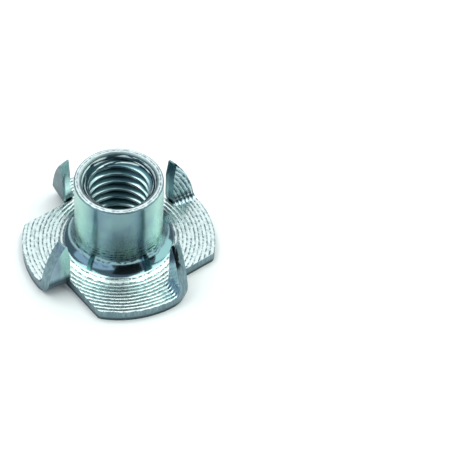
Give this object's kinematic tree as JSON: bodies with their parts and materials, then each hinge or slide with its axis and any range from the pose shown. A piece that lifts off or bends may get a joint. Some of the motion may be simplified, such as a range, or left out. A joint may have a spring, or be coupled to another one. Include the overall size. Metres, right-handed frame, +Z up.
{
  "type": "tee nut",
  "caption": "One-piece stamped steel tee nut: a threaded barrel drawn up from a round notched flange, whose folded prongs grip wood and stop it turning.",
  "frame": {"origin": "centre of the flange's flat outer face, on the axis of the bore", "axes": "+Z runs up the barrel from the flange to the lip, and the prongs stand the same way; the prongs' inner edges lie at 45 degrees to +X and +Y"},
  "size_m": [0.022, 0.022, 0.011],
  "materials": {
    "zinc_plated_steel": "bright zinc plating, with fine turned rings on the flange and a smooth drawn barrel"
  },
  "bodies": {
    "root": {"tee_nut": "zinc_plated_steel"}
  },
  "joints": []
}
